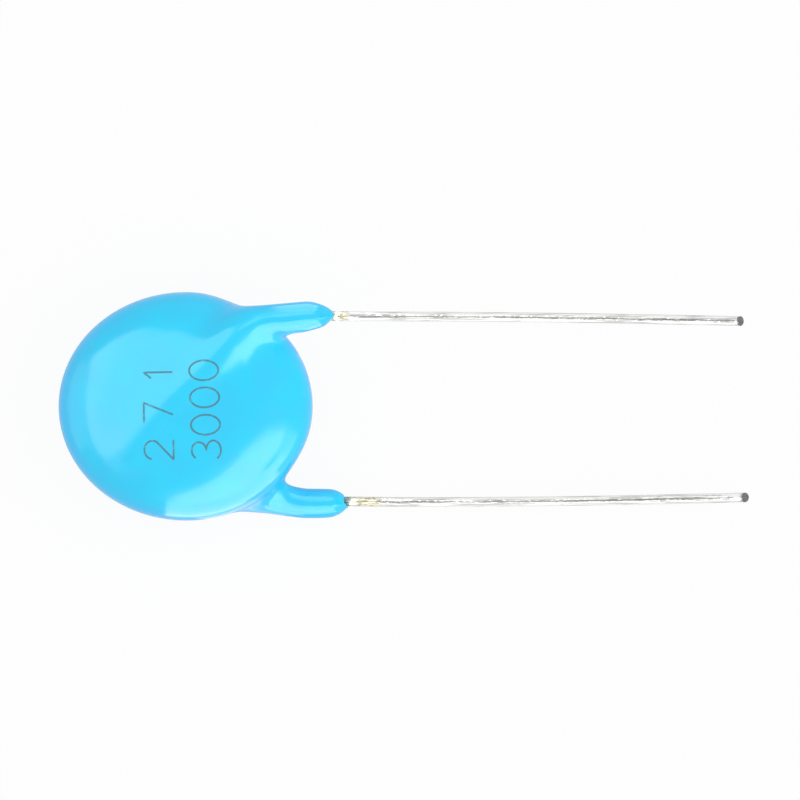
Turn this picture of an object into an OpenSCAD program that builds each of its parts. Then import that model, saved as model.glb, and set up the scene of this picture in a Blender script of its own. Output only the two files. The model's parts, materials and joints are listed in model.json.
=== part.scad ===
// Radial-lead ceramic disc capacitor, dip coated in epoxy.
// The part lies on its rear face: +Z leaves the front face, +X runs along the
// leads to their cut ends, and the origin is under the disc's centre.

/* [Ceramic element] */
// Diameter of the fired ceramic disc
disc_d = 12.6; // [10:0.1:16]
// Thickness of the ceramic disc
disc_t = 3.6; // [2.4:0.1:5]
// Radius on the pressed disc's edges
disc_edge_r = 0.25; // [0.1:0.05:0.6]
// Bare margin of ceramic outside each electrode
electrode_margin = 0.8; // [0.4:0.1:1.6]
// Thickness of the fired silver electrode
electrode_t = 0.03; // [0.02:0.01:0.1]

/* [Leads] */
// Diameter of the tinned wire
wire_d = 0.65; // [0.5:0.05:0.9]
// Distance between the two leads where they leave the coating
lead_pitch = 12.4; // [9.5:0.1:15]
// How far the pair of leads sits to the rear lead's side of the disc's centre
pair_shift = 0.19; // [0:0.01:0.6]
// Bare length of the front lead, to the long side of its cut end
front_lead_len = 27.3; // [10:0.1:40]
// Bare length of the rear lead, to the long side of its cut end
rear_lead_len = 27; // [10:0.1:40]
// Angle by which the front lead leans in towards the rear one
front_toe_in = 0.72; // [0.6:0.02:2]
// Angle by which the rear lead leans in towards the front one
rear_toe_in = 0.57; // [0.55:0.02:2]
// Slope of the front lead's cut end, from square
front_cut = 36; // [0:1:55]
// Slope of the rear lead's cut end, from square
rear_cut = 41; // [0:1:55]
// How far inside the body's end each wire starts to close in
lean_start = 0.45; // [0.3:0.05:1]
// How far inside the body's end each wire bends to its soldered run
bend_start = 4.35; // [3.4:0.05:5]
// How far beside the disc's centre each wire's soldered run passes
run_offset = 0.95; // [0:0.05:1.6]
// Angle at which each wire closes in before that bend
leg_lean = 5; // [2:1:10]
// Radius of that bend, at the wire's middle
bend_r = 1.8; // [1:0.1:2.5]
// How far each wire runs on past the point nearest to the disc's centre
wire_past = 4; // [0.4:0.1:4.2]

/* [Solder] */
// Film of solder between wire and electrode
solder_film = 0.05; // [0.03:0.01:0.1]
// Solder over and beside the wire
solder_cover = 0.12; // [0.05:0.01:0.3]
// Length of the solder bead along the wire, between its rounded ends
solder_len = 8; // [3:0.1:8.5]

/* [Epoxy coating] */
// Epoxy outside the disc's edge, at the end that the leads leave
coat_end = 2.15; // [1.6:0.05:3]
// Epoxy outside the disc's edge, at the far end
coat_far_end = 2.25; // [1.6:0.05:3]
// Epoxy outside the disc's edge, across the leads
coat_side = 1.35; // [1:0.05:2]
// Epoxy over the wires on each face
coat_face = 0.97; // [0.6:0.01:1.5]
// How square the rim's section is: 2 is an ellipse
rim_fullness = 2.6; // [2.2:0.1:3.4]
// Depth of the flat that the rear face rests on
rest_flat = 0.1; // [0.06:0.01:0.2]
// Radius of the coat on each leg
leg_r = 0.975; // [0.8:0.005:1.2]
// Radius of the coat over each wire at its soldered end
ridge_r = 1; // [0.7:0.01:1.3]
// Radius of the coat over each wire where it bends to leave the disc
root_r = 1.35; // [0.9:0.01:1.5]
// How much thinner both are over the rear wire
rear_thinner = 0.2; // [0:0.01:0.3]
// Radius of the coat's own bend there, which is slower than the wire's
coat_bend_r = 4; // [2:0.1:5]
// Reach of the front leg past the body's end
front_leg_reach = 1.41; // [1:0.01:4]
// Reach of the rear leg past the body's end
rear_leg_reach = 2.28; // [1:0.01:4]
// Length of the run-out at the front leg's tip
front_tip_len = 1.4; // [0.8:0.05:1.6]
// Length of the run-out at the rear leg's tip
rear_tip_len = 1.1; // [0.8:0.05:1.6]
// How round the run-out is: 2 is an ellipse
tip_fullness = 1.8; // [1.6:0.1:2.4]
// How far the rear leg's coat hangs outside its wire
rear_leg_sag = 0.12; // [0:0.01:0.2]
// Width of the meniscus beside the ridges over the wires
ridge_meniscus = 1.1; // [0.5:0.05:1.6]
// Width of the meniscus at the front leg's root
front_meniscus = 1.3; // [0.5:0.05:2.1]
// Width of the meniscus at the rear leg's root
rear_meniscus = 1.9; // [0.5:0.05:2.1]
// How much the front leg's meniscus draws the body's coat in, outside the legs
outer_draw_in = 0.18; // [0:0.01:0.3]
// How much the rear leg's meniscus draws it in, between the legs
inner_draw_in = 0.07; // [0:0.01:0.3]
// How far from the leg the coat is drawn in most
draw_reach = 2.4; // [1.6:0.1:3]

/* [Hidden] */
$fn = 96;

// A lead, its electrode and its solder are told apart by a side.
FRONT = 1;
REAR = -1;

disc_r = disc_d / 2;
electrode_r = disc_r - electrode_margin;
wire_r = wire_d / 2;
// Height of a wire's middle over the disc's middle plane.
wire_h = disc_t / 2 + electrode_t + solder_film + wire_r;
// Half sizes of the coated body: to the leads' end, to its far end, across
// the leads, and thick.
body_a = disc_r + coat_end;
far_a = disc_r + coat_far_end;
body_b = disc_r + coat_side;
body_h = wire_h + wire_r + coat_face;
mid_z = body_h - rest_flat;

// Where each wire bends to its soldered run, and where it starts to close in.
bend_x = body_a - bend_start;
lean_x = body_a - lean_start;
// The wire turns to its toe-in in a long slow bend, just inside the leg's tip.
mouth_depth = 0.35;
mouth_r = 40;
lean_r = 6;
// A bend draws the wire a little thinner, and runs on into both straights.
bend_neck = 0.01;
bend_lap = 0.1;

/* ---- Small rules that several pieces share ---- */

function mix(a, b, t) = a + (b - a) * t;

function pick(side, front, rear) = side == FRONT ? front : rear;

function plan_unit(angle) = [cos(angle), sin(angle)];

function in_plan(p) = [p[0], p[1]];

function at_height(p, z) = [p[0], p[1], z];

function leg_y(side) = side * lead_pitch / 2 - pair_shift;

function leg_end(side) = body_a + pick(side, front_leg_reach, rear_leg_reach);

function toe_angle(side) = -side * pick(side, front_toe_in, rear_toe_in);

// Corners of a wire's route in plan, from its soldered end to its cut end.
function wire_route(side) =
    let(
        leg_y = leg_y(side),
        corner = [bend_x, leg_y - side * (lean_x - bend_x) * tan(leg_lean)],
        nearest = run_offset * plan_unit(
            atan2(corner[1], corner[0]) + side * acos(run_offset / norm(corner))
        ),
        mouth = [leg_end(side) - mouth_depth, leg_y],
        bare = pick(side, front_lead_len, rear_lead_len) + mouth_depth
    )
    [
        towards(nearest, corner, -wire_past),
        corner,
        [lean_x, leg_y],
        mouth,
        mouth + bare * plan_unit(toe_angle(side))
    ];

/* ---- Wire ---- */

// How much of each straight a bend of radius r takes at corner b.
function bend_reach(a, b, c, r) =
    let(turn = 180 - acos((a - b) * (c - b) / norm(a - b) / norm(c - b)))
    r * tan(turn / 2);

function towards(from, to, distance) = from + (to - from) / norm(to - from) * distance;

module straight(from, to) {
    way = to - from;
    translate(from)
        rotate([0, 90, atan2(way[1], way[0])])
            cylinder(h = norm(way), r = wire_r);
}

// A bend of radius r in the plan, round the corner b between a and c.
module bend(a, b, c, r) {
    reach = bend_reach(a, b, c, r);
    start = towards(b, a, reach);
    end = towards(b, c, reach);
    turn = 2 * atan(reach / r);
    lap = atan(bend_lap / r);
    centre = towards(b, (start + end) / 2, r / cos(turn / 2));
    left = cross(b - a, c - b) > 0;
    first = left ? start - centre : end - centre;
    translate(centre)
        rotate([0, 0, atan2(first[1], first[0]) - lap])
            rotate_extrude(angle = turn + 2 * lap)
                translate([r, 0])
                    circle(r = wire_r - bend_neck);
}

// The route's corners with a bend at each one between the ends.
module wire(route, radii) {
    last = len(route) - 1;
    reach = [
        for (i = [0 : last])
            i == 0 || i == last ? 0
            : bend_reach(route[i - 1], route[i], route[i + 1], radii[i - 1])
    ];
    for (i = [0 : last - 1])
        straight(
            towards(route[i], route[i + 1], reach[i]),
            towards(route[i + 1], route[i], reach[i + 1])
        );
    for (i = [1 : last - 1])
        bend(route[i - 1], route[i], route[i + 1], radii[i - 1]);
}

module lead(side) {
    route = wire_route(side);
    cutter = 6 * wire_d;
    difference() {
        translate([0, 0, mid_z + side * wire_h])
            wire(route, [bend_r, lean_r, mouth_r]);
        translate(at_height(route[4], mid_z + side * wire_h - wire_r))
            rotate([0, -pick(side, front_cut, rear_cut), toe_angle(side)])
                translate([0, -cutter / 2, -cutter / 2])
                    cube(cutter);
    }
}

/* ---- Ceramic element ---- */

module disc() {
    translate([0, 0, mid_z])
        rotate_extrude()
            difference() {
                translate([0, -disc_t / 2])
                    square([disc_r, disc_t]);
                for (side = [FRONT, REAR])
                    edge_round(side);
            }
}

// What the pressed edge leaves off the disc's section at one corner.
module edge_round(side) {
    difference() {
        translate([disc_r - disc_edge_r, side * (disc_t / 2 - disc_edge_r)])
            scale([1, side])
                square(2 * disc_edge_r);
        translate([disc_r - disc_edge_r, side * (disc_t / 2 - disc_edge_r)])
            circle(disc_edge_r);
    }
}

module electrode(side) {
    translate([0, 0, mid_z + side * (disc_t + electrode_t) / 2])
        cylinder(h = electrode_t, r = electrode_r, center = true);
}

// A long bead of solder, flat on the electrode, that starts past the wire's end.
module bead(side) {
    route = wire_route(side);
    face_z = mid_z + side * (disc_t / 2 + electrode_t);
    bead_r = solder_film + wire_d + solder_cover;
    way = route[1] - route[0];
    intersection() {
        translate(at_height(route[0], face_z))
            rotate([0, 90, atan2(way[1], way[0])])
                rotate_extrude()
                    bead_outline(bead_r);
        translate([-disc_r, -disc_r, pick(side, face_z, face_z - disc_t)])
            cube([disc_d, disc_d, disc_t]);
    }
}

// Half of the bead's outline, its middle line along Y.
module bead_outline(r) {
    intersection() {
        union() {
            translate([-r, 0])
                square([2 * r, solder_len]);
            for (y = [0, solder_len])
                translate([0, y])
                    circle(r);
        }
        translate([0, -r])
            square([r, solder_len + 2 * r]);
    }
}

module solder(side) {
    route = wire_route(side);
    difference() {
        bead(side);
        translate([0, 0, mid_z + side * wire_h])
            straight(route[0], route[1]);
    }
}

/* ---- Coating ---- */

// Its outside is worked out as one form: a pill round the disc, joined by a
// meniscus to the coat that follows each wire. The functions below give a
// point's depth in each of them, negative inside, and the skin lies at zero.

// Half length of the body's plan, which is half an ellipse at either end.
function half_length(x) = x > 0 ? body_a : far_a;

// Depth in the pill, whose section is a superellipse.
function pill(p) =
    let(
        n = rim_fullness,
        a = half_length(p[0]),
        across = norm([p[0] / a, p[1] / body_b]),
        up = abs(p[2] - mid_z) / body_h,
        size = pow(pow(across, n) + pow(up, n), 1 / n),
        slope_across = pow(across, n - 2) * norm([p[0] / a ^ 2, p[1] / body_b ^ 2]),
        slope_up = pow(up, n - 1) / body_h
    )
    (size - 1) * pow(size, n - 1) / norm([slope_across, slope_up]);

// Depth in a round coat on a straight stretch, whose radius goes from ra to rb.
function stretch(p, a, b, ra, rb) =
    let(
        along = b - a,
        t = min(1, max(0, (p - a) * along / (along * along)))
    )
    norm(p - a - along * t) - mix(ra, rb, t);

// Depth in the run-out that ends a leg, from its last full circle at point c.
function run_out(p, c, len) =
    let(
        q = tip_fullness,
        along = (p[0] - c[0]) / len,
        out = norm([p[1] - c[1], p[2] - c[2]]) / leg_r
    )
    (pow(pow(along, q) + pow(out, q), 1 / q) - 1) * leg_r;

// The run-out's whole length, if it closed to a point inside the wire.
function run_out_len(side) =
    pick(side, front_tip_len, rear_tip_len)
    / pow(1 - pow(wire_r / leg_r, tip_fullness), 1 / tip_fullness);

// The coat's route over a wire: from where the wire ends to the bend's start and
// end, to where the leg straightens, and on to where the run-out starts.
function coat_route(side) =
    let(
        wire = wire_route(side),
        z = mid_z + side * wire_h,
        leg_y = leg_y(side) + side * pick(side, 0, rear_leg_sag),
        lean = [wire[2][0], leg_y],
        reach = bend_reach(wire[0], wire[1], lean, coat_bend_r),
        tip_x = leg_end(side) - pick(side, front_tip_len, rear_tip_len)
    )
    [
        at_height(wire[0], z),
        at_height(towards(wire[1], wire[0], reach), z),
        at_height(towards(wire[1], lean, reach), z),
        at_height(lean, z),
        [tip_x, leg_y, z]
    ];

// Centre of the bend that goes from a to b, and leaves the way from c to a.
function bend_centre(a, b, c) =
    let(
        square = [a[1] - c[1], c[0] - a[0]] / norm(a - c),
        chord = in_plan(b - a)
    )
    in_plan(a) + square * (chord * chord) / (2 * chord * square);

// Depth in the coat round the bend, whose radius eases from the root's to the leg's.
function coat_bend(p, route, centre, side) =
    let(
        start = in_plan(route[1]) - centre,
        whole = signed_angle(start, in_plan(route[2]) - centre),
        turn = signed_angle(start, in_plan(p) - centre),
        t = min(1, max(0, turn / whole)),
        angle = atan2(start[1], start[0]) + whole * t
    )
    norm(p - at_height(centre + coat_bend_r * plan_unit(angle), route[1][2]))
    - mix(thinned(root_r, side), leg_r, ease(t, 0, 1));

function signed_angle(from, to) = atan2(cross(from, to), from * to);

function thinned(r, side) = r - pick(side, 0, rear_thinner);

// Depth in the coat of one leg, and in all the coat over its wire.
function leg(p, route, len) =
    p[0] > route[4][0] ? run_out(p, route[4], len)
    : min(
        stretch(p, route[2], route[3], leg_r, leg_r),
        stretch(p, route[3], route[4], leg_r, leg_r)
    );

function cover(p, coat, leg, side) =
    min(
        leg,
        coat_bend(p, coat[0], coat[2], side),
        stretch(p, coat[0][0], coat[0][1], thinned(ridge_r, side), thinned(root_r, side))
    );

// Two depths joined by a meniscus.
function joined(a, b, width) = min(a, b) - pow(max(0, width - abs(a - b)), 2) / (4 * width);

function root_meniscus(side) = pick(side, front_meniscus, rear_meniscus);

// From 0 to 1 as a value goes from one end to the other, slow at both.
function ease(value, from, to) =
    let(t = min(1, max(0, (value - from) / (to - from))))
    t * t * (3 - 2 * t);

// Width of a meniscus, which goes along the wire from the ridge's to the root's.
function meniscus(x, route, side) =
    mix(ridge_meniscus, root_meniscus(side), ease(x, 0, route[1][0]));

// How far the body's coat is drawn in, at some distance from a leg.
function drawn_in(y, distance) =
    let(outside = ease(abs(y), lead_pitch / 2 - 2 * leg_r, lead_pitch / 2))
    (y > 0 ? outer_draw_in * outside : inner_draw_in * (1 - outside))
    * pow(sin(90 * min(2, max(0, distance / draw_reach))), 2);

// Each coat over a wire: its route, the length of its run-out, and the centre
// of its bend.
coats = [
    for (side = [FRONT, REAR])
        let(route = coat_route(side))
        [route, run_out_len(side), bend_centre(route[1], route[2], route[0])]
];

function form(p) =
    let(
        legs = [for (coat = coats) leg(p, coat[0], coat[1])],
        body = pill(p) + drawn_in(p[1], min(legs)),
        front = joined(body, cover(p, coats[0], legs[0], FRONT), meniscus(p[0], coats[0][0], FRONT))
    )
    joined(front, cover(p, coats[1], legs[1], REAR), meniscus(p[0], coats[1][0], REAR));

// The slope of the form's depth, which is square to the skin.
function slope(p) =
    let(
        step = 0.001,
        depth = form(p)
    )
    [
        form(p + [step, 0, 0]) - depth,
        form(p + [0, step, 0]) - depth,
        form(p + [0, 0, step]) - depth
    ] / step;

// A point moved onto the skin, straight up or down the slope.
function settled(p, steps = 4) =
    steps == 0 ? p
    : let(slope = slope(p))
    settled(p - slope * form(p) / (slope * slope), steps - 1);

// Halving finds where the way from an inner to an outer point leaves the form.
function leaves_form(inner, outer, steps = 20) =
    let(half = (inner + outer) / 2)
    steps == 0 ? half
    : form(half) < 0 ? leaves_form(half, outer, steps - 1)
    : leaves_form(inner, half, steps - 1);

// The skin is a net on the pill: columns from pole to pole, and rows round it.
// Each leg grows, ring by ring, from a gap that is left in the net.
gap_cols = 8;
gap_rows = 7;
side_cols = 14;
back_cols = 40;
cap_rows = 8;
rim_rows = 4;
root_rings = 9;
leg_rings = 2;
tip_rings = 7;
// Slopes, from the disc's centre, of the rows that bound a gap.
gap_top = 50;
gap_foot = asin((wire_h - leg_r - max(front_meniscus, rear_meniscus) / 2) / body_h);
ring_size = 2 * (gap_cols + gap_rows);

function inside_plan(p) = norm([p[0] / half_length(p[0]), p[1] / body_b]) < 1;

// Halving finds where the way from an inner to an outer point leaves the plan.
function leaves_plan(inner, outer, steps = 24) =
    let(half = (inner + outer) / 2)
    steps == 0 ? half
    : inside_plan(half) ? leaves_plan(half, outer, steps - 1)
    : leaves_plan(inner, half, steps - 1);

// The stretch of a wire's route that leaves the plan.
function root_stretch(side) =
    let(
        corners = wire_route(side),
        before = inside_plan(corners[1]) ? 1 : 0
    )
    [corners[before], corners[before + 1]];

function root(side) = leaves_plan(root_stretch(side)[0], root_stretch(side)[1]);

// The two column angles that bound a leg's gap.
function gap_angles(side) =
    let(
        way = root_stretch(side)[1] - root_stretch(side)[0],
        root = root(side),
        outward = [root[0] / body_a ^ 2, root[1] / body_b ^ 2],
        slant = outward * way / norm(outward) / norm(way),
        middle = atan2(root[1] / body_b, root[0] / body_a),
        half = asin((leg_r + root_meniscus(side) / 2) / slant / norm(root))
    )
    [middle - half, middle + half];

function spread(from, to, count) = [for (i = [0 : count - 1]) mix(from, to, i / count)];

function net_columns() =
    let(
        rear = gap_angles(REAR),
        front = gap_angles(FRONT)
    )
    concat(
        spread(rear[0], rear[1], gap_cols),
        spread(rear[1], front[0], side_cols),
        spread(front[0], front[1], gap_cols),
        spread(front[1], rear[0] + 360, back_cols)
    );

function net_rows() =
    let(
        upper = concat(
            [for (i = [1 : cap_rows - 1]) mix(90, gap_top, i / cap_rows)],
            spread(gap_top, gap_foot, gap_rows)
        ),
        last = len(upper) - 1
    )
    concat(
        upper,
        spread(gap_foot, -gap_foot, rim_rows),
        [-gap_foot],
        [for (i = [last : -1 : 0]) -upper[i]]
    );

// The pill's own point at a column's angle and a row's slope.
function on_pill(angle, slope) =
    let(
        n = rim_fullness,
        size = pow(pow(cos(slope), n) + pow(abs(sin(slope)), n), 1 / n)
    )
    [
        half_length(cos(angle)) * cos(slope) * cos(angle) / size,
        body_b * cos(slope) * sin(angle) / size,
        mid_z + body_h * sin(slope) / size
    ];

// Rows and columns of the points round a gap, clockwise from outside.
function gap_edge(side) =
    let(
        top = pick(side, cap_rows - 1, cap_rows - 1 + gap_rows + rim_rows),
        foot = top + gap_rows,
        left = pick(side, gap_cols + side_cols, 0),
        right = left + gap_cols
    )
    concat(
        [for (c = [left : right - 1]) [top, c]],
        [for (r = [top : foot - 1]) [r, right]],
        [for (c = [right : -1 : left + 1]) [foot, c]],
        [for (r = [foot : -1 : top + 1]) [r, left]]
    );

// The coat's middle at some x on a leg, and the ways out from it across the leg.
function leg_middle(x, route) =
    let(t = min(1, max(0, (x - route[2][0]) / (route[3][0] - route[2][0]))))
    [x, mix(route[2][1], route[3][1], t), route[3][2]];

ring_ways = [
    for (k = [0 : ring_size - 1])
        let(turn = 90 + 180 * gap_cols / ring_size - 360 * k / ring_size)
        [0, cos(turn), sin(turn)]
];

function ring(x, r, route) =
    [for (way = ring_ways) settled(leg_middle(x, route) + r * way)];

// A direction on its way round from one unit vector to another.
function turned(from, to, t) =
    let(angle = acos(from * to))
    (from * sin(angle * (1 - t)) + to * sin(angle * t)) / sin(angle);

// A point on the smooth curve from a to c that b draws towards itself.
function drawn(a, b, c, t) = mix(mix(a, b, t), mix(b, c, t), t);

// The rings of a leg's root, from its gap's edge to the first whole ring: they
// are sought from inside, out from the pill at first and then across the leg.
function root_net(side, edge, middle) =
    let(
        squares = [for (p = edge) slope(p) / norm(slope(p))],
        root = at_height(root(side), middle[2])
    )
    [
        for (i = [1 : root_rings - 1])
            let(t = i / root_rings)
            [
                for (k = [0 : ring_size - 1])
                    let(
                        inner = drawn(edge[k] - leg_r * squares[k], root, middle, t),
                        way = turned(squares[k], ring_ways[k], t)
                    )
                    leaves_form(inner, inner + 2 * leg_r * way)
            ]
    ];

// All the rings of one leg, from the first past its gap to the last at its tip.
function leg_net(side, edge, route, len) =
    let(
        tip_x = route[4][0],
        inner_y = abs(route[2][1]) - leg_r,
        crotch_x = body_a * sqrt(1 - (inner_y / body_b) ^ 2),
        free_x = min(crotch_x + root_meniscus(side), tip_x - leg_r / 2)
    )
    concat(
        root_net(side, edge, leg_middle(free_x, route)),
        [for (i = [0 : leg_rings - 1]) ring(mix(free_x, tip_x, i / leg_rings), leg_r, route)],
        [
            for (i = [0 : tip_rings - 1])
                let(
                    turn = 90 * i / tip_rings,
                    out = pow(cos(turn), 2 / tip_fullness),
                    on = pow(sin(turn), 2 / tip_fullness)
                )
                ring(tip_x + len * on, leg_r * out, route)
        ]
    );

// Two triangles across the shorter diagonal of four corners.
function split(points, a, b, c, d) =
    norm(points[a] - points[c]) < norm(points[b] - points[d])
    ? [[a, b, c], [a, c, d]]
    : [[a, b, d], [b, c, d]];

module skin() {
    columns = net_columns();
    rows = net_rows();
    wide = len(columns);
    high = len(rows);
    net = [for (row = rows, angle = columns) settled(on_pill(angle, row))];
    poles = [for (row = [90, -90]) settled(on_pill(0, row))];
    edges = [
        for (side = [FRONT, REAR])
            [for (spot = gap_edge(side)) spot[0] * wide + spot[1] % wide]
    ];
    legs = [
        for (i = [0, 1])
            leg_net(
                [FRONT, REAR][i], [for (k = edges[i]) net[k]],
                coats[i][0], coats[i][1]
            )
    ];
    tips = [for (coat = coats) coat[0][4] + [coat[1], 0, 0]];
    leg_size = len(legs[0]) * ring_size;
    // All the points, in order: net, poles, front leg, rear leg, tips.
    points = concat(
        net,
        poles,
        [for (leg = legs, ring = leg, p = ring) p],
        tips
    );
    first_leg = len(net) + 2;
    first_tip = first_leg + 2 * leg_size;
    gaps = [for (side = [FRONT, REAR]) gap_edge(side)];
    faces = [
        for (r = [0 : high - 2], c = [0 : wide - 1])
            if (!in_gap(r, c, gaps[0]) && !in_gap(r, c, gaps[1]))
                let(next = (c + 1) % wide)
                each split(
                    points, r * wide + c, r * wide + next,
                    (r + 1) * wide + next, (r + 1) * wide + c
                ),
        for (c = [0 : wide - 1])
            let(next = (c + 1) % wide, last = (high - 1) * wide)
            each [[len(net), next, c], [len(net) + 1, last + c, last + next]],
        for (i = [0, 1])
            let(first = first_leg + i * leg_size, count = len(legs[0]))
            each [
                for (r = [0 : count - 1], k = [0 : ring_size - 1])
                    let(
                        next = (k + 1) % ring_size,
                        near = r == 0 ? [edges[i][k], edges[i][next]]
                            : [for (j = [k, next]) first + (r - 1) * ring_size + j],
                        far = [for (j = [next, k]) first + r * ring_size + j]
                    )
                    each split(points, near[0], near[1], far[0], far[1]),
                for (k = [0 : ring_size - 1])
                    let(last = first + (count - 1) * ring_size)
                    [last + k, last + (k + 1) % ring_size, first_tip + i]
            ]
    ];
    polyhedron(points, faces);
}

// Whether the net's cell below row r and after column c is in a gap.
function in_gap(r, c, edge) =
    r >= edge[0][0] && r < edge[0][0] + gap_rows
    && c >= edge[0][1] && c < edge[0][1] + gap_cols;

// The skin, less what the rear face rests flat on and the pieces it holds.
module coating() {
    block = 4 * (body_a + max(front_leg_reach, rear_leg_reach));
    difference() {
        skin();
        translate([0, 0, -block / 2])
            cube(block, center = true);
        disc();
        for (side = [FRONT, REAR]) {
            electrode(side);
            bead(side);
            lead(side);
        }
    }
}

/* ---- The pieces ---- */

module ceramic_disc() {
    color([0.62, 0.44, 0.3])
        disc();
}

module electrode_front() {
    color([0.86, 0.87, 0.88])
        electrode(FRONT);
}

module electrode_rear() {
    color([0.86, 0.87, 0.88])
        electrode(REAR);
}

module solder_front() {
    color([0.7, 0.71, 0.73])
        solder(FRONT);
}

module solder_rear() {
    color([0.7, 0.71, 0.73])
        solder(REAR);
}

module lead_front() {
    color([0.78, 0.78, 0.78])
        lead(FRONT);
}

module lead_rear() {
    color([0.78, 0.78, 0.78])
        lead(REAR);
}

module epoxy_coating() {
    color([0.3, 0.8, 0.98])
        coating();
}

ceramic_disc();
electrode_front();
electrode_rear();
solder_front();
solder_rear();
lead_front();
lead_rear();
epoxy_coating();
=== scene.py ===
# %% [markdown]
# # A dip-coated ceramic disc capacitor
# A high-voltage disc capacitor is a fired ceramic disc with a film of silver
# and a soldered wire on each face, dipped in blue epoxy. Only the coating and
# the two bare wires show. Their sizes and places come from the packed CAD
# model, so the lesson starts by loading it as a fixed frame, and everything
# that is made later is placed from what the frame holds.

import json
import math

import bmesh
import bpy
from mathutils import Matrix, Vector
from mathutils.bvhtree import BVHTree


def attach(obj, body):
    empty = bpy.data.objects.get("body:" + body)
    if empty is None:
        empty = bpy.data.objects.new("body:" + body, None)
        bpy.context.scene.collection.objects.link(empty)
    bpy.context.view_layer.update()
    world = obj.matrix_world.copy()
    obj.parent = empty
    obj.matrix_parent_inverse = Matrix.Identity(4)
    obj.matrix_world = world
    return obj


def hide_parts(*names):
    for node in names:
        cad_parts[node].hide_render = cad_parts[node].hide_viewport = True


MM = 0.001

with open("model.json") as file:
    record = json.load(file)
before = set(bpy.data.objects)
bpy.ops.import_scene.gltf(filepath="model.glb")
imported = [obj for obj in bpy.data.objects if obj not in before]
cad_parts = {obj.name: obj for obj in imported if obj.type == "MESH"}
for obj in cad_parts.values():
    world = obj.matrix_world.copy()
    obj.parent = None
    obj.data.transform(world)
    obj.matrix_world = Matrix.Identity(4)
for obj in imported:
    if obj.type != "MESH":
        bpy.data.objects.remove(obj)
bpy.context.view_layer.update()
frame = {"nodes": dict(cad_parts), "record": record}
nodes = frame["nodes"]
print("CAD nodes:", ", ".join(sorted(nodes)))

# %% [markdown]
# ## Camera
# The part lies on its flat face and the camera looks straight down on it. A
# long lens far away keeps both wires at nearly the same scale, although one
# lies over four millimetres higher than the other. The distance follows from
# the lens and from how wide the picture is at the height of the disc.

# %% Camera
VIEW_CENTRE = Vector((14.278, 0.421, 3.4)) * MM
VIEW_WIDTH = 53.476 * MM
LENS = 300
SENSOR = 36

scene = bpy.context.scene
scene.view_settings.view_transform = "Standard"
camera_data = bpy.data.cameras.new("camera")
camera_data.lens = LENS
camera_data.sensor_width = SENSOR
camera_data.clip_start = 0.01
camera_data.clip_end = 10
camera_distance = VIEW_WIDTH * LENS / SENSOR
camera = bpy.data.objects.new("camera", camera_data)
camera.location = VIEW_CENTRE + Vector((0, 0, camera_distance))
scene.collection.objects.link(camera)
scene.camera = camera
print("camera distance, mm:", round(camera_distance / MM, 1))

# %% [markdown]
# ## The wires' lines
# The coating's tips, the resin stain and the cut ends all sit on the two
# wires. Each wire's straight part is a mount in the record, with a point on
# its middle line and its direction, so those lines are read from there.

# %% Lines of the two wires
class WireLine:
    """The middle line of a lead's straight part, which runs along +X."""

    def __init__(self, mount):
        self.point = Vector(mount["pos_m"])
        self.way = Vector(mount["axis"]).normalized()
        self.radius = mount["dims"]["r_mm"] * MM

    def at(self, x):
        """The line's point at an X, in metres."""
        return self.point + self.way * ((x - self.point.x) / self.way.x)


mounts = {m["name"]: m for m in frame["record"]["mounts"]}
front_wire = WireLine(mounts["lead_front"])
rear_wire = WireLine(mounts["lead_rear"])
print("wire radius, mm:", round(front_wire.radius / MM, 3))

# %% [markdown]
# ## The coating's skin
# Epoxy leaves the bath as a liquid, so its skin has no flat facets and no
# sharp edge. The CAD node has the right form as a net of small triangles, and
# it is a solid, with cavities for the pieces that it holds. A copy of it is
# merged, the cavities' walls are deleted, and pairs of triangles become quads
# again, which a Subdivision Surface modifier rounds much better. A skin that
# was modelled anew would drift from the CAD form, and this one can't.

# %% Helpers for meshes
WELD = 0.0005 * MM


def merged_copy(node):
    """A CAD node's loose triangles as one connected bmesh."""
    bm = bmesh.new()
    bm.from_mesh(nodes[node].data)
    bmesh.ops.remove_doubles(bm, verts=bm.verts, dist=WELD)
    return bm


def surface_of(node):
    """A CAD node's surface, to measure distances to."""
    mesh = nodes[node].data
    points = [v.co for v in mesh.vertices]
    return BVHTree.FromPolygons(points, [p.vertices for p in mesh.polygons])


def finished(name, bm):
    """The bmesh as a smooth-shaded object that moves with the part."""
    mesh = bpy.data.meshes.new(name)
    bm.to_mesh(mesh)
    bm.free()
    mesh.shade_smooth()
    piece = bpy.data.objects.new(name, mesh)
    scene.collection.objects.link(piece)
    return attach(piece, "root")


print("triangles of the coating's CAD mesh:", len(nodes["epoxy_coating"].data.polygons))

# %% The outer skin alone
TOUCH = 0.02 * MM
QUAD_FOLD = math.radians(40)
QUAD_SKEW = math.radians(60)

skin = merged_copy("epoxy_coating")
held = [surface_of(node) for node in nodes if node != "epoxy_coating"]
cavity_walls = [
    face for face in skin.faces
    if any(s.find_nearest(face.calc_center_median(), TOUCH)[0] for s in held)
]
bmesh.ops.delete(skin, geom=cavity_walls, context="FACES")
ragged = [v for v in skin.verts if v.is_boundary]
bmesh.ops.delete(skin, geom=ragged, context="VERTS")
bmesh.ops.join_triangles(
    skin, faces=skin.faces, angle_face_threshold=QUAD_FOLD, angle_shape_threshold=QUAD_SKEW,
)
print("skin:", len(skin.faces), "faces,", len(cavity_walls), "cavity faces left out")

# %% [markdown]
# ## The legs' tips
# Where a wire leaves the bath, the epoxy runs out along it, and surface
# tension draws its last edge. No two tips are alike: the front one runs out
# sooner on its inner side, and the rear one hangs to its outer side, where it
# ends in a small point past a notch. A mesh that is already the leg can be
# moved a little at a time, by amounts that grow smoothly along the leg and
# round it. Then its open edge is extruded onto the wire and closed inside it.

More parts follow.
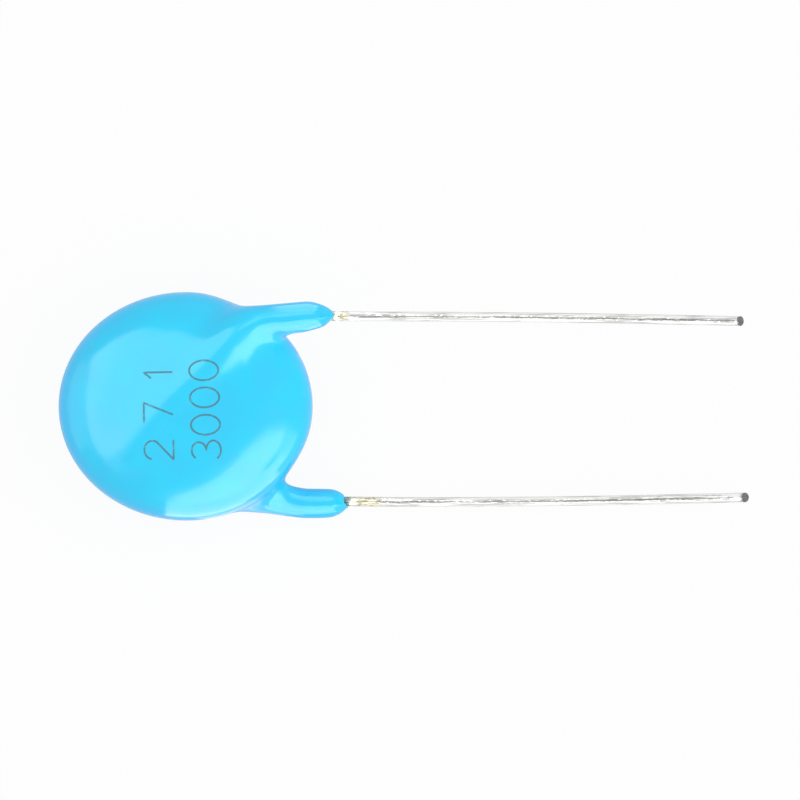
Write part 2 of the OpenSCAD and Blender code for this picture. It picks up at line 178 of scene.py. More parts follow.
# %% Places on a leg
def ease(value, start, end):
    """0 up to the start, 1 from the end on, and a smooth way between them."""
    t = min(1, max(0, (value - start) / (end - start)))
    return t * t * (3 - 2 * t)


def around(point, wire):
    """How far a point lies round the wire's line: 1 at its +Y side, -1 at its -Y side."""
    off = point - wire.at(point.x)
    off.x = 0
    return off.y / off.length


def place_on_leg(point, wire):
    """How far along X a point lies, how far round the wire, and how far off its line, in mm."""
    reach = (point - wire.at(point.x)).length
    return point.x / MM, around(point, wire), reach / MM


print("a quarter, a half and three quarters, eased:", [ease(t, 0, 1) for t in (0.25, 0.5, 0.75)])

# %% The front leg's skin
# How far the skin moves in mm, and between which two places along X each move grows or fades.
# What makes a leg fuller also fades with the distance from its wire, over LEG_WIDTH.
LEG_WIDTH = (1.3, 2.4)
GATHER, GATHER_GROWS, GATHER_FADES = 0.16, (5.8, 6.7), (7.7, 8.7)
DRAWN_IN, DRAWN_IN_GROWS = 0.04, (6.9, 7.5)
WAIST, WAIST_FADES = 0.05, (9.1, 9.5)
FRONT_SLIM, FRONT_SLIM_GROWS = 0.1, (8.2, 9)
DRAWN_BACK, DRAWN_BACK_GROWS = 0.2, (8.9, 9.7)


def front_leg_shift(point):
    """How the front leg's skin moves: the epoxy gathers on its inner side before the tip."""
    x, turn, reach = place_on_leg(point, front_wire)
    inner_side = ease(-turn, 0.15, 1)
    outer_side = ease(turn, 0, 0.7)
    slim = ease(x, *FRONT_SLIM_GROWS)
    gathered = GATHER * ease(x, *GATHER_GROWS) * (1 - ease(x, *GATHER_FADES))
    gathered *= 1 - ease(reach, *LEG_WIDTH)
    drawn_in = DRAWN_IN * ease(x, *DRAWN_IN_GROWS) + WAIST * slim * (1 - ease(x, *WAIST_FADES))
    drawn_back = DRAWN_BACK * ease(-turn, 0, 1) * ease(x, *DRAWN_BACK_GROWS)
    sideways = (drawn_in - gathered) * inner_side - FRONT_SLIM * slim * outer_side
    return Vector((-drawn_back, sideways, 0)) * MM


print("the front tip is drawn back by up to", DRAWN_BACK, "mm")

# %% The rear leg's skin
REAR_FULL, REAR_FULL_GROWS = 0.06, (5.5, 6.5)
REAR_SLIM_OUTER, REAR_SLIM_INNER, REAR_SLIM_GROWS = 0.07, 0.035, (9.4, 10)


def rear_leg_shift(point):
    """How the rear leg's skin moves: it is fuller on its outer side, and slimmer where it ends."""
    x, turn, reach = place_on_leg(point, rear_wire)
    outer_side = ease(-turn, 0, 1)
    inner_side = ease(turn, 0, 1)
    slim = ease(x, *REAR_SLIM_GROWS)
    full = ease(x, *REAR_FULL_GROWS) * (1 - slim) * (1 - ease(reach, *LEG_WIDTH))
    outwards = REAR_FULL * full - REAR_SLIM_OUTER * slim
    return Vector((0, -outwards * outer_side - REAR_SLIM_INNER * slim * inner_side, 0)) * MM


print("the rear leg is slimmer by up to", REAR_SLIM_OUTER, "mm where it ends")

# %% The legs, moved
LEG_ROOT = 5.5
FRONT_LEG_FROM = 2
REAR_LEG_FROM = -4

on_legs = [v for v in skin.verts if v.co.x > LEG_ROOT * MM]
front_leg = [v for v in on_legs if v.co.y > FRONT_LEG_FROM * MM]
rear_leg = [v for v in on_legs if v.co.y < REAR_LEG_FROM * MM]
for v in front_leg:
    v.co += front_leg_shift(v.co)
for v in rear_leg:
    v.co += rear_leg_shift(v.co)
print("vertices on the legs:", len(front_leg), "and", len(rear_leg))

# %% Where the tips end
FRONT_TIP = 9.86
REAR_TIP = 10.43
NOTCH = 0.1
POINT_LENGTH = 0.28
POINT_STAND = 0.13
TIP_STAND = front_wire.radius / MM + 0.005


def front_end(turn):
    """Where the front tip ends, and how far its edge stands off the wire's middle, in mm."""
    return FRONT_TIP - DRAWN_BACK * ease(-turn, 0.1, 1), TIP_STAND


def rear_end(turn):
    """The same for the rear tip: its notch is in the middle, and its point on the outer side."""
    beside_notch = ease(abs(turn), 0, 0.6)
    outer_point = ease(-turn, 0.35, 1)
    end = REAR_TIP + NOTCH * beside_notch + POINT_LENGTH * outer_point
    return end, TIP_STAND + POINT_STAND * outer_point


print("the front tip ends at X", FRONT_TIP, "mm and the rear tip from X", REAR_TIP, "mm on")

# %% The tips, closed
INSIDE_WIRE = front_wire.radius / MM - 0.025
NEAR_WIRE = 1 * MM
# A tip is closed by three rings: on its end, and twice inside the wire, so many mm back from it.
TIP_RINGS = [(None, 0), (INSIDE_WIRE, 0.05), (INSIDE_WIRE, 0.4)]


def close_tip(bm, wire, end):
    """Carries a leg's open edge to its end, in to the wire and back inside it, and closes it."""
    open_edges = [
        e for e in bm.edges
        if e.is_boundary and abs(e.verts[0].co.y - wire.at(e.verts[0].co.x).y) < NEAR_WIRE
    ]
    for radius, back in TIP_RINGS:
        made = bmesh.ops.extrude_edge_only(bm, edges=open_edges)["geom"]
        open_edges = [g for g in made if isinstance(g, bmesh.types.BMEdge)]
        for v in (g for g in made if isinstance(g, bmesh.types.BMVert)):
            x, stand = end(around(v.co, wire))
            off = v.co - wire.at(v.co.x)
            off.x = 0
            v.co = wire.at((x - back) * MM) + off.normalized() * (radius or stand) * MM
    bmesh.ops.holes_fill(bm, edges=open_edges)


close_tip(skin, front_wire, front_end)
close_tip(skin, rear_wire, rear_end)
print("open edges left:", sum(e.is_boundary for e in skin.edges))

# %% The skin's order
# The extrusion makes its pieces in an order that changes from run to run, so they are sorted
# along one slanted direction. Then every run writes the same mesh.
SORT_ALONG = Vector((1, 1.37, 1.71))

skin.verts.sort(key=lambda v: v.co.dot(SORT_ALONG))
skin.edges.sort(key=lambda e: (e.verts[0].co + e.verts[1].co).dot(SORT_ALONG))
skin.faces.sort(key=lambda f: f.calc_center_median().dot(SORT_ALONG))
print("skin, sorted:", len(skin.verts), "vertices")

# %% The finished skin
ROUNDING_LEVELS = 2

skin_object = finished("coating_skin", skin)
rounding = skin_object.modifiers.new("rounding", "SUBSURF")
rounding.levels = ROUNDING_LEVELS
rounding.render_levels = ROUNDING_LEVELS
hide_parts("epoxy_coating")
print("skin, before its rounding:", len(skin_object.data.polygons), "faces")

# %% [markdown]
# ## The wires' bow
# A lead is straightened wire, and never quite straight: each one bows away
# from the other by about a tenth of a millimetre. A long cylinder has vertices
# only at its ends, so a copy of each CAD lead is cut across by planes along
# its length, and the rings that this makes are moved. The first cut lies
# inside the leg's tip, so that the shading of the bare wire takes in nothing
# of the rings before it.

# %% Bowed wires
BOW_START, BOW_END = 10.5, 37.7
FIRST_CUT = 9
BOW_CUTS = 24
FRONT_BOW, REAR_BOW = 0.075, -0.13
REAR_LEAN = 0.85
SHARP_EDGE = math.radians(35)


def bowed(node, bow, lean=1):
    """A lead's copy, bowed by some mm along Y. A lean below 1 brings the bow nearer the leg."""
    bm = merged_copy(node)
    for i in range(BOW_CUTS):
        x = FIRST_CUT + (BOW_END - FIRST_CUT) * i / BOW_CUTS
        whole = [*bm.verts, *bm.edges, *bm.faces]
        bmesh.ops.bisect_plane(bm, geom=whole, plane_co=(x * MM, 0, 0), plane_no=(1, 0, 0))
    for v in bm.verts:
        along = (v.co.x / MM - BOW_START) / (BOW_END - BOW_START)
        v.co.y += bow * MM * math.sin(math.pi * min(1, max(0, along)) ** lean)
    wire = finished(node + "_bowed", bm)
    wire.data.set_sharp_from_angle(angle=SHARP_EDGE)
    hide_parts(node)
    return wire


bowed_wires = [bowed("lead_front", FRONT_BOW), bowed("lead_rear", REAR_BOW, REAR_LEAN)]
print("faces of the bowed wires:", [len(wire.data.polygons) for wire in bowed_wires])

# %% [markdown]
# ## Finishes
# Each finish is one Principled BSDF, with procedural noise on the sockets
# that vary. All noise is read from Object coordinates, in which the whole part
# has its real size, so a scale can be said in waves to a millimetre. The
# helpers below keep the node trees short to read.

# %% Screen colours
def linear(red, green, shaded_blue):
    """A screen colour of 0 to 255 as a linear colour."""
    def one(c):
        c = c / 255
        return c / 12.92 if c <= 0.04045 else ((c + 0.055) / 1.055) ** 2.4
    return (one(red), one(green), one(shaded_blue), 1)


print("screen grey 128 as a linear value:", round(linear(128, 128, 128)[0], 3))

# %% A finish and its nodes
class Finish:
    """A material with one Principled BSDF and helpers that add nodes to it."""

    def __init__(self, name, **constants):
        self.material = bpy.data.materials.new(name)
        self.material.use_nodes = True
        self.nodes = self.material.node_tree.nodes
        self.links = self.material.node_tree.links
        self.shader = self.nodes["Principled BSDF"]
        for socket, value in constants.items():
            self.shader.inputs[socket.replace("_", " ")].default_value = value
        coordinates = self.add("ShaderNodeTexCoord").outputs
        self.place = coordinates["Object"]
        self.normal = coordinates["Normal"]

    def fill(self, socket, value):
        """Links a node's output to a socket, or sets a plain value there."""
        if isinstance(value, bpy.types.NodeSocket):
            self.links.new(value, socket)
        else:
            socket.default_value = value

    def add(self, kind, inputs=None, **settings):
        """A new node with its settings, and with its inputs linked or set."""
        node = self.nodes.new(kind)
        for key, value in settings.items():
            setattr(node, key, value)
        for socket, value in (inputs or {}).items():
            self.fill(node.inputs[socket], value)
        return node

    def math(self, operation, *values):
        """A Math node's result."""
        return self.add("ShaderNodeMath", dict(enumerate(values)), operation=operation).outputs[0]

    def ramp(self, value, low, high, start=0, end=1):
        """A smooth way from the start to the end, while the value goes from low to high."""
        inputs = {"Value": value, "From Min": low, "From Max": high, "To Min": start, "To Max": end}
        return self.add("ShaderNodeMapRange", inputs, interpolation_type="SMOOTHSTEP").outputs[0]

    def split(self, vector):
        """A vector's X, Y and Z."""
        return self.add("ShaderNodeSeparateXYZ", {0: vector}).outputs

    def noise(self, per_mm, detail=2, stretch=(1, 1, 1)):
        """Noise of so many waves to a mm. A stretch below 1 draws it out along that axis."""
        scale = [per_mm / MM * s for s in stretch]
        place = self.add("ShaderNodeMapping", {"Vector": self.place, "Scale": scale}).outputs[0]
        inputs = {"Vector": place, "Scale": 1, "Detail": detail}
        return self.add("ShaderNodeTexNoise", inputs).outputs["Fac"]

    def mix(self, share, first, second):
        """A mix of two colours. The node's sockets 0, 6 and 7 are the share and the colours."""
        node = self.add("ShaderNodeMix", {0: share, 6: first, 7: second}, data_type="RGBA")
        return node.outputs[2]

    def bump(self, height, distance_mm, after=None):
        """A normal that rises and falls by so many mm, on top of the one before it."""
        inputs = {"Height": height, "Distance": distance_mm * MM, "Strength": 1}
        if after is not None:
            inputs["Normal"] = after
        return self.add("ShaderNodeBump", inputs).outputs[0]

    def drive(self, socket, value):
        """Gives a socket of the shader a value that varies."""
        self.fill(self.shader.inputs[socket], value)


print("a finish can:", ", ".join(name for name in vars(Finish) if not name.startswith("_")))

# %% Finishes on CAD nodes
def paint(finish, *names):
    """Gives CAD nodes a finish."""
    for name in names:
        nodes[name].data.materials.clear()
        nodes[name].data.materials.append(finish.material)


print("CAD nodes to finish:", len(nodes))

# %% [markdown]
# ## Blue epoxy
# The coating is a glossy, opaque blue, and soft clouds run through it. Its
# colour also carries painted shade: it is a little paler, more violet and less
# green where the skin turns down towards the rim, and more so on the side that
# faces away from the sun at +X. A colour that hangs on the surface's own normal
# does that, and stays with the part in every view. A dipped skin is never quite
# flat, so a very shallow, wide bump lets the edges of its highlights waver.

# %% Blue epoxy
FACE_BLUE = linear(24, 213, 254)
RIM_SHADED_BLUE = linear(64, 194, 255)
CLOUD_BLUE = linear(40, 202, 250)

epoxy = Finish("blue_epoxy", IOR=1.5)
# Painted shade: the blue turns darker and more violet where the skin turns down, and more on its -X
# side.
lengthwise, _, upward = epoxy.split(epoxy.normal)
shade_facing = epoxy.math("MULTIPLY_ADD", lengthwise, 0.2, upward)
shaded_blue = epoxy.mix(epoxy.ramp(shade_facing, 0.15, 0.9), RIM_SHADED_BLUE, FACE_BLUE)
cloud = epoxy.ramp(epoxy.noise(0.35, 3), 0.35, 0.65)
epoxy.drive("Base Color", epoxy.mix(cloud, shaded_blue, epoxy.mix(0.5, shaded_blue, CLOUD_BLUE)))
epoxy.drive("Roughness", epoxy.ramp(epoxy.noise(1.2, 3), 0.3, 0.7, 0.15, 0.2))
epoxy.drive("Normal", epoxy.bump(epoxy.noise(0.9, 1), 0.005))
skin_object.data.materials.append(epoxy.material)
paint(epoxy, "epoxy_coating")
print("on the skin:", epoxy.material.name)

# %% [markdown]
# ## Tinned wire
# The wire's tin is drawn, so fine lines run along it, and handling has left
# shallow dents. Noise that is drawn out along X makes the lines, and a slower
# noise the dents. Past each tip a thin yellowish film of resin has crept along
# the wire, and at the cut end the steel core shows. All of it is one material,
# because it is one wire: where resin and steel lie follows from X.

# %% The tin, with its lines and dents
TIN_DARK, TIN_LIGHT = linear(206, 205, 203), linear(244, 244, 242)

tin = Finish("tinned_wire")
along_x, along_y, _ = tin.split(tin.place)
draw_lines = tin.noise(8, 4, (0.05, 1, 1))
dents = tin.noise(2.2, 2, (0.6, 1, 1))
pits = tin.noise(6, 2, (0.5, 1, 1))
metal = tin.mix(tin.ramp(draw_lines, 0.42, 0.5), TIN_DARK, TIN_LIGHT)
tin_roughness = tin.ramp(draw_lines, 0.3, 0.7, 0.1, 0.24)
fine_relief = tin.bump(pits, 0.012, tin.bump(draw_lines, 0.01))
tin.drive("Normal", tin.bump(dents, 0.06, fine_relief))
print("tin: lines, pits and dents")

# %% The resin past the tips
RESIN_LIGHT, RESIN_DARK = linear(232, 227, 204), linear(176, 170, 150)
FRONT_STAIN_END = 10.9 * MM
REAR_STAIN_LONGER = 2.3 * MM
RAGGED = 1.4 * MM

on_rear_wire = tin.math("LESS_THAN", along_y, 0)
stain_end = tin.math("MULTIPLY_ADD", on_rear_wire, REAR_STAIN_LONGER, FRONT_STAIN_END)
ragged_x = tin.math(
    "MULTIPLY_ADD", tin.noise(1.6, 3), RAGGED, tin.math("SUBTRACT", along_x, RAGGED / 2),
)
past_end = tin.math("SUBTRACT", ragged_x, stain_end)
stained = tin.ramp(past_end, -0.35 * MM, 0.25 * MM, 1, 0)
crust = tin.noise(7, 3, (0.5, 1, 1))
resin = tin.mix(tin.ramp(crust, 0.45, 0.6), RESIN_LIGHT, RESIN_DARK)
print("the front wire is stained to about X", FRONT_STAIN_END / MM, "mm")

# %% The cut ends, and the wire's finish
STEEL_DARK, STEEL_LIGHT = linear(92, 92, 94), linear(132, 131, 131)
CUT_FROM = 30 * MM
DULL_ROUGHNESS = 0.26

facing_end = tin.split(tin.normal)[0]
cut = tin.math(
    "MULTIPLY", tin.ramp(facing_end, 0.3, 0.5), tin.math("GREATER_THAN", along_x, CUT_FROM),
)
steel = tin.mix(tin.ramp(tin.noise(9, 3), 0.3, 0.7), STEEL_DARK, STEEL_LIGHT)
tin.drive("Base Color", tin.mix(cut, tin.mix(stained, metal, resin), steel))
less_metallic = tin.math("MULTIPLY_ADD", cut, -0.4, 1)
tin.drive("Metallic", tin.math("MULTIPLY_ADD", stained, -0.5, less_metallic))
dull = tin.math("MULTIPLY", tin.math("MAXIMUM", cut, stained), DULL_ROUGHNESS)
tin.drive("Roughness", tin.math("MAXIMUM", tin_roughness, dull))
paint(tin, "lead_front", "lead_rear")
for wire in bowed_wires:
    wire.data.materials.append(tin.material)
print("on the wires:", tin.material.name)

# %% [markdown]
# ## What the coating holds
# The disc, its two silver films and the solder don't show, but a reader who
# hides the coating sees them, so they have their finishes too. Fired ceramic
# and fired silver are matte and slightly mottled, which needs only one noise
# for colour, roughness and bump. Solder froze as a liquid, so it is smoother
# and has wide ripples.

# %% Ceramic and silver
def mottled(name, grains, contrast, light, dark, roughness, depth, metallic=0):
    """A finish in which one noise varies the colour, the roughness and the height.

    The grains are the noise's waves to a mm and its detail. The contrast is where in the noise
    the first colour ends and the second one is reached.
    """
    finish = Finish(name, Metallic=metallic)
    mottle = finish.noise(*grains)
    finish.drive("Base Color", finish.mix(finish.ramp(mottle, *contrast), light, dark))
    finish.drive("Roughness", finish.ramp(mottle, 0.3, 0.7, *roughness))
    finish.drive("Normal", finish.bump(mottle, depth))
    return finish


BISCUIT_LIGHT, BISCUIT_DARK = (0.66, 0.47, 0.32, 1), (0.55, 0.38, 0.25, 1)
SILVER_LIGHT, SILVER_DARK = (0.88, 0.89, 0.9, 1), (0.74, 0.74, 0.75, 1)

ceramic = mottled(
    "ceramic", (5, 4), (0.35, 0.65), BISCUIT_LIGHT, BISCUIT_DARK, roughness=(0.6, 0.8), depth=0.01,
)
paint(ceramic, "ceramic_disc")
silver = mottled(
    "fired_silver", (9, 3), (0.3, 0.7), SILVER_LIGHT, SILVER_DARK, roughness=(0.42, 0.6),
    depth=0.003, metallic=1,
)
paint(silver, "electrode_front", "electrode_rear")
print("on the disc and its electrodes:", ceramic.material.name, "and", silver.material.name)

# %% Solder
SOLDER_LIGHT, SOLDER_DARK = (0.72, 0.73, 0.75, 1), (0.58, 0.59, 0.62, 1)

solder = Finish("solder", Metallic=1)
ripple = solder.noise(1.8, 2, (0.6, 1, 1))
solder.drive("Base Color", solder.mix(solder.ramp(ripple, 0.3, 0.7), SOLDER_LIGHT, SOLDER_DARK))
solder.drive("Roughness", solder.ramp(solder.noise(6, 3), 0.3, 0.7, 0.18, 0.4))
solder.drive("Normal", solder.bump(ripple, 0.02))
paint(solder, "solder_front", "solder_rear")
print("on the two joints:", solder.material.name)

# %% [markdown]
# ## The marking
# A disc's value is printed in thin single strokes. A font has no such
# strokes, and a picture would blur, so each digit is a few arcs and lines in
# a box of 1 by 1. The strokes are curves with a round bevel, made into a
# mesh. The numbers are plain.

# %% Strokes of the digits
def arc(centre, radii, start, end, steps=18):
    """Points along part of an ellipse, with angles in degrees."""
    angles = [math.radians(start + (end - start) * i / steps) for i in range(steps + 1)]
    return [(centre[0] + radii[0] * math.cos(a), centre[1] + radii[1] * math.sin(a)) for a in angles]


DIGITS = {
    "0": [arc((0, 0), (0.5, 0.5), 90, 450, 36)],
    "1": [[(-0.3, 0.24), (0, 0.5), (0, -0.5)]],
    "2": [arc((0, 0.21), (0.46, 0.29), 170, -28) + [(-0.5, -0.5), (0.5, -0.5)]],
    "3": [arc((-0.02, 0.25), (0.42, 0.25), 150, -90) + arc((-0.02, -0.25), (0.48, 0.25), 90, -155)],
    "7": [[(-0.5, 0.5), (0.5, 0.5), (-0.12, -0.5)]],
}
print("digits:", " ".join(DIGITS))

# %% The rows of digits
GLYPH_HEIGHT = 1.94
GLYPH_WIDTH = 1.32

# Each row has a lean in degrees, and its digits with their middles on the part, in mm.
ROWS = [
    (1, [("2", -1.71, -2.89), ("7", -1.74, -0.41), ("1", -1.78, 2.26)]),
    (2.5, [("3", 1.43, -2.89), ("0", 1.38, -1.22), ("0", 1.32, 0.59), ("0", 1.26, 2.39)]),
]


def placed(point, middle, lean):
    """A digit's point on the part: the rows read along +Y, with their tops to -X."""
    across, up = point[0] * GLYPH_WIDTH, point[1] * GLYPH_HEIGHT
    c, s = math.cos(math.radians(lean)), math.sin(math.radians(lean))
    return Vector((middle[0] - up * c - across * s, middle[1] + across * c - up * s, 0))


print("rows:", ", ".join("".join(digit for digit, _, _ in glyphs) for _, glyphs in ROWS))

# %% The strokes as curves
STROKE_RADIUS = 0.061
STROKE_STEP = 0.12


def add_stroke(curve, points):
    """Adds a run of short straight pieces, so that it can follow the skin."""
    dense = [points[0]]
    for start, end in zip(points, points[1:]):
        pieces = max(1, math.ceil((end - start).length / STROKE_STEP))
        dense += [start.lerp(end, (i + 1) / pieces) for i in range(pieces)]
    spline = curve.splines.new("POLY")
    spline.points.add(len(dense) - 1)
    for place, point in zip(spline.points, dense):
        place.co = (*(point * MM), 1)


curve = bpy.data.curves.new("strokes", "CURVE")
curve.dimensions = "3D"
curve.bevel_depth = STROKE_RADIUS * MM
curve.bevel_resolution = 2
curve.use_fill_caps = True
for lean, glyphs in ROWS:
    for digit, x, y in glyphs:
        for stroke in DIGITS[digit]:
            add_stroke(curve, [placed(point, (x, y), lean) for point in stroke])
print("strokes:", len(curve.splines))

# %% [markdown]
# ## The printed film
# Ink lies on the skin as a film far thinner than a stroke is wide. A
# Shrinkwrap modifier would press the strokes flat, so each vertex is laid on
# the finished skin by a ray from above, and keeps a small share of its height.

# %% The printed film
FILM = 0.008
ABOVE_ALL = 20 * MM

strokes = bpy.data.objects.new("strokes", curve)
scene.collection.objects.link(strokes)
view_layer = bpy.context.evaluated_depsgraph_get()
marking_mesh = bpy.data.meshes.new_from_object(strokes.evaluated_get(view_layer))
bpy.data.objects.remove(strokes)
skin_surface = BVHTree.FromObject(skin_object, view_layer)
film = bmesh.new()
film.from_mesh(marking_mesh)
for v in film.verts:
    below = skin_surface.ray_cast(Vector((v.co.x, v.co.y, ABOVE_ALL)), Vector((0, 0, -1)))[0]
    v.co.z = below.z + v.co.z / STROKE_RADIUS * FILM
marking = finished("value_marking", film)
print("film of", len(marking.data.polygons), "faces,", FILM, "mm proud of the skin")

# %% Ink
INK_FULL, INK_WORN = linear(66, 124, 142), linear(74, 158, 184)

ink = Finish("grey_ink", Roughness=0.35, IOR=1.45)
worn = ink.ramp(ink.noise(3.5, 3), 0.52, 0.7)
ink.drive("Base Color", ink.mix(worn, INK_FULL, INK_WORN))
ink.drive("Normal", ink.bump(ink.noise(14, 2), 0.002))
marking.data.materials.append(ink.material)
print("on the marking:", ink.material.name)

# %% [markdown]
# ## Floor and world
# A white floor and a white world stand for a light table. Their white is the
# colour that the camera sees, by Light Path, and not more light on the part.
# The floor keeps a share of its own shading, so that the part's shadow shows
# on it. Reflections see mostly that shading, which is darker than the world
# and draws the lower edges of the skin and the wires.

# %% Floor
FLOOR_SEEN = 0.93
FLOOR_MIRRORED = 0.15

floor_mesh = bmesh.new()
bmesh.ops.create_grid(floor_mesh, x_segments=1, y_segments=1, size=1)
mesh = bpy.data.meshes.new("floor")
floor_mesh.to_mesh(mesh)
floor_mesh.free()
floor = bpy.data.objects.new("floor", mesh)
scene.collection.objects.link(floor)

table = Finish("light_table", Roughness=0.9, Base_Color=(0.8, 0.8, 0.8, 1))
glow = table.add("ShaderNodeEmission", {"Color": (1, 1, 1, 1), "Strength": 1})
ray = table.add("ShaderNodeLightPath").outputs
seen = table.math("MULTIPLY", ray["Is Camera Ray"], FLOOR_SEEN)
mirrored = table.math("MAXIMUM", ray["Is Glossy Ray"], ray["Is Transmission Ray"])
share = table.math("MAXIMUM", seen, table.math("MULTIPLY", mirrored, FLOOR_MIRRORED))
both = table.add("ShaderNodeMixShader", {0: share, 1: table.shader.outputs[0], 2: glow.outputs[0]})
table.links.new(both.outputs[0], table.nodes["Material Output"].inputs["Surface"])
floor.data.materials.append(table.material)
print("floor, share of white that the camera sees:", FLOOR_SEEN)

# %% World
ROOM_LIGHT = 0.86

world = bpy.data.worlds.new("studio")
scene.world = world
world.use_nodes = True
tree = world.node_tree
background = tree.nodes["Background"]
background.inputs["Color"].default_value = (1, 1, 1, 1)
ray = tree.nodes.new("ShaderNodeLightPath").outputs
seen = ray["Is Camera Ray"]
for kind in ("Is Glossy Ray", "Is Transmission Ray"):
    highest = tree.nodes.new("ShaderNodeMath")
    highest.operation = "MAXIMUM"
    tree.links.new(seen, highest.inputs[0])
    tree.links.new(ray[kind], highest.inputs[1])
    seen = highest.outputs[0]
level = tree.nodes.new("ShaderNodeMapRange")
level.inputs["To Min"].default_value = ROOM_LIGHT
level.inputs["To Max"].default_value = 1
tree.links.new(seen, level.inputs["Value"])
tree.links.new(level.outputs[0], background.inputs["Strength"])
print("light from the room:", ROOM_LIGHT)

# %% [markdown]
# ## Panels for the reflections
# A glossy skin shows its shape by what it mirrors. Area lamps would also
# change how light the part is, so flat glowing panels are used, which only
# reflections see, and only from their front. Where a panel's edge lies in a
# reflection follows from the skin's slope there, so each outline was worked
# out from the highlight that it has to give.

# %% Corners of panels
LIGHT_HEIGHT = 300


def overhead(*shares):
    """Corners of a panel over the part, each as X and Y in shares of the panel's height."""
    return [(x * LIGHT_HEIGHT, y * LIGHT_HEIGHT, LIGHT_HEIGHT) for x, y in shares]


def standing(y, *corners):
    """Corners of an upright panel at one Y, given as X and Z."""
    return [(x, y, z) for x, z in corners]


def oblong(left, right, low, high):
    """The four corners of an oblong, as X and Z."""
    return (left, low), (right, low), (right, high), (left, high)


print("overhead panels are", LIGHT_HEIGHT, "mm over the table")

# %% Panels that only reflections see
def one_sided_glow(name, strength, fading):
    """A material that glows at the front and is clear at the back."""
    finish = Finish(name)
    if fading:
        start, end = (place * LIGHT_HEIGHT * MM for place in fading)
        strength = finish.ramp(finish.split(finish.place)[0], start, end, *strength)
    glow = finish.add("ShaderNodeEmission", {"Strength": strength})
    clear = finish.add("ShaderNodeBsdfTransparent")
    behind = finish.add("ShaderNodeNewGeometry").outputs["Backfacing"]
    both = finish.add("ShaderNodeMixShader", {0: behind, 1: glow.outputs[0], 2: clear.outputs[0]})
    finish.links.new(both.outputs[0], finish.nodes["Material Output"].inputs["Surface"])
    return finish.material


def panel(name, strength, corners, towards=(0, 0, 4), fading=None):
    """A flat glowing panel with its corners in mm. Only reflections see it, from its front.

    A fading panel has two strengths, and the two places along X between which they mix.
    """
    bm = bmesh.new()
    face = bm.faces.new([bm.verts.new(Vector(corner) * MM) for corner in corners])
    face.normal_update()
    if face.normal.dot(Vector(towards) * MM - face.calc_center_median()) < 0:
        face.normal_flip()
    mesh = bpy.data.meshes.new(name)
    bm.to_mesh(mesh)
    bm.free()
    lamp = bpy.data.objects.new(name, mesh)
    scene.collection.objects.link(lamp)
    lamp.visible_camera = False
    lamp.visible_shadow = False
    lamp.visible_diffuse = False
    lamp.data.materials.append(one_sided_glow(name, strength, fading))


print("a strength of 1 is as bright as the white world")

# %% [markdown]
# ## Softboxes overhead
# The face mirrors two softboxes, on either side of the camera. The left one
# fades along X, and ends in a slanted edge, which crosses the face, with a
# dimmer strip beyond it. The right one gives the bright streak on the front
# wire's ridge and the band at the lower rim. The skin's steep sides mirror
# two walls far away.

# %% Softboxes and far walls
WALL_X, WALL_HEIGHT = 700, 560

panel("left_softbox", (4.1, 3.2), overhead(
    (-1.95, 1.25), (-1.3, 1.05), (-1, 1.12), (-0.5, 1.03), (-0.36, 0.88), (-0.19, 0.73),
    (0.02, 0.66), (0.02, 0.25), (-0.23, 0), (-0.5, -0.3), (-0.9, -0.75), (-1.13, -0.77),
    (-1.14, 0), (-1.25, 0.5),
), fading=(-1.1, -0.4))
panel("left_fill", 1.9, overhead(
    (-0.23, 0), (-0.1, -0.08), (-0.3, -0.45), (-0.6, -0.8), (-0.85, -1), (-1.2, -1),
    (-1.13, -0.77), (-0.9, -0.75), (-0.5, -0.3),
))
panel("right_softbox", 5.2, overhead(
    (-0.36, -2.3), (-0.27, -1.71), (-0.19, -1.35), (0.04, -0.97), (0.2, -0.72), (0.28, -0.5),
    (0.36, -0.34), (0.5, -0.27), (0.8, -0.27), (1.25, -0.36), (1.25, -1.6), (0.9, -2.2),
))
panel("right_wall", 3, [
    (WALL_X, -230, 0), (WALL_X, -455, 0), (WALL_X, -455, WALL_HEIGHT), (WALL_X, -200, WALL_HEIGHT),
])
panel("left_wall", 1.9, [
    (-WALL_X, -357, 0), (-WALL_X, 357, 0), (-WALL_X, 400, WALL_HEIGHT), (-WALL_X, -330, WALL_HEIGHT),
])
print("the far walls are", WALL_X, "mm to the part's sides")

# %% [markdown]
# ## Panels near the part
# The lower rim, the legs and the wires need highlights of their own. A far
# panel low over the floor would also whiten the face in every low view, so
# these stand only some millimetres away from the skin that they are for. Those
# of the legs end soon after the tips, because the bare wires would mirror them.

# %% Panels at the lower rim
BRIGHT = 4.8
RIM_WALL_Y = -13
RIM_CARD_Y = -8.2

panel("low_reflector", BRIGHT, standing(
    RIM_WALL_Y, (-2.45, 0.2), (7.3, 0.2), (7.3, 10.8), (-2.45, 8.8),
))
panel("low_reflector_end", BRIGHT, standing(
    RIM_WALL_Y, (12.6, 0.2), (22, 0.2), (22, 13), (12.6, 10.9),
))
panel("near_card", 1.6, [
    (0.4, RIM_WALL_Y, 0.1), (1.4, RIM_CARD_Y, 0.1), (6.3, RIM_CARD_Y, 0.1), (7.2, RIM_WALL_Y, 0.1),
])
print("lower rim: walls", -RIM_WALL_Y, "mm from the disc's centre")

# %% Panels at the legs
FRONT_LEG, REAR_LEG = (7, 6, 6), (9, -6, 2)
LEG_PANELS_END = 11.6
DIM = 1.1

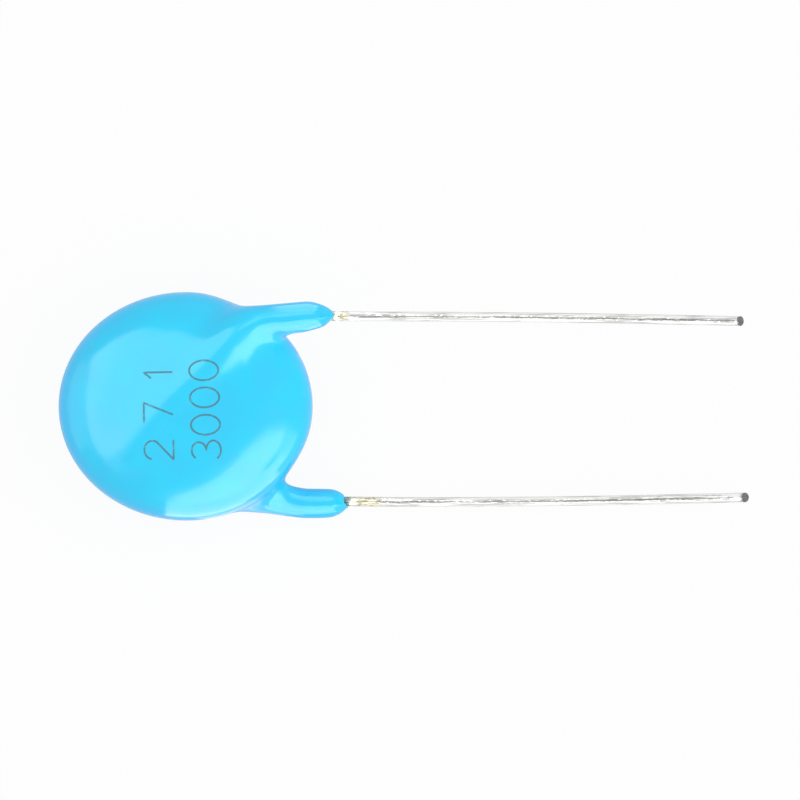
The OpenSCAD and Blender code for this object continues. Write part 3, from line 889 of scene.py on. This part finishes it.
panel("front_leg_wall", 3.8, standing(14, *oblong(5.1, LEG_PANELS_END, 3, 16)), FRONT_LEG)
panel("front_leg_top", 3.2, [
    (6, 14, 16), (LEG_PANELS_END, 14, 16), (LEG_PANELS_END, 9.5, 22), (6, 9.5, 22),
], FRONT_LEG)
panel("front_leg_card", BRIGHT, standing(
    2.6, (5.6, 6.5), (7.6, 6), (8.9, 4), (11.4, 4), (11.4, 13), (5.6, 13),
), FRONT_LEG)
panel("front_notch_card", 1.3, standing(
    4.1, (5.6, 4.4), (7.8, 3.2), (7.8, 5.95), (5.6, 5.95),
), FRONT_LEG)
panel("front_wire_card", DIM, standing(8.5, *oblong(10.2, 11.8, 4.6, 13.6)), FRONT_LEG)
panel("front_wire_gap", DIM, standing(3.5, *oblong(10.2, 11.8, 9.6, 13.6)), FRONT_LEG)
panel("rear_leg_card", 3.2, standing(-1, *oblong(6.3, 12.5, 5.9, 16)), REAR_LEG)
panel("rear_leg_gap", 0.95, standing(3.5, *oblong(6.5, 11.4, 0.2, 8.5)), REAR_LEG)
panel("rear_leg_wall", BRIGHT, standing(-12, *oblong(6.5, 12.6, 2, 15.4)), REAR_LEG)
print("the legs' panels end at X", LEG_PANELS_END, "mm")

# %% Panels along the wires
PANELS_TO = 37
# A shade over each wire gives it a dark middle line, and a card at its side a grey flank. Each
# has a strength, and the Y and Z of its two long edges from the wire's middle, in mm.
WIRE_PANELS = [("shade", 0.4, (0.9, 2.5), (-0.9, 2.5)), ("side", DIM, (-2.5, -1), (-2.5, 4))]

for name, wire, begin in (("front_wire", front_wire, 10), ("rear_wire", rear_wire, 11)):
    start, end = wire.at(begin * MM) / MM, wire.at(PANELS_TO * MM) / MM
    for kind, strength, low, high in WIRE_PANELS:
        low, high = Vector((0, *low)), Vector((0, *high))
        corners = [start + low, end + low, end + high, start + high]
        panel(f"{name}_{kind}", strength, corners, (start + end) / 2)
print("the wires' panels end at X", PANELS_TO, "mm")

# %% [markdown]
# ## Key light
# A wide, weak sun from the right leaves the soft shadow and a little modelling
# on the skin. Reflections don't see it, because the panels stand in for it.

# %% Key light
KEY_FROM = Vector((0.75, -0.1, 0.65))
KEY_STRENGTH = 0.6
KEY_WIDTH = math.radians(50)

key_data = bpy.data.lights.new("key", "SUN")
key_data.energy = KEY_STRENGTH
key_data.angle = KEY_WIDTH
key = bpy.data.objects.new("key", key_data)
key.rotation_euler = KEY_FROM.to_track_quat("Z", "Y").to_euler()
key.visible_glossy = False
scene.collection.objects.link(key)
print("key light, strength:", KEY_STRENGTH)

# %% [markdown]
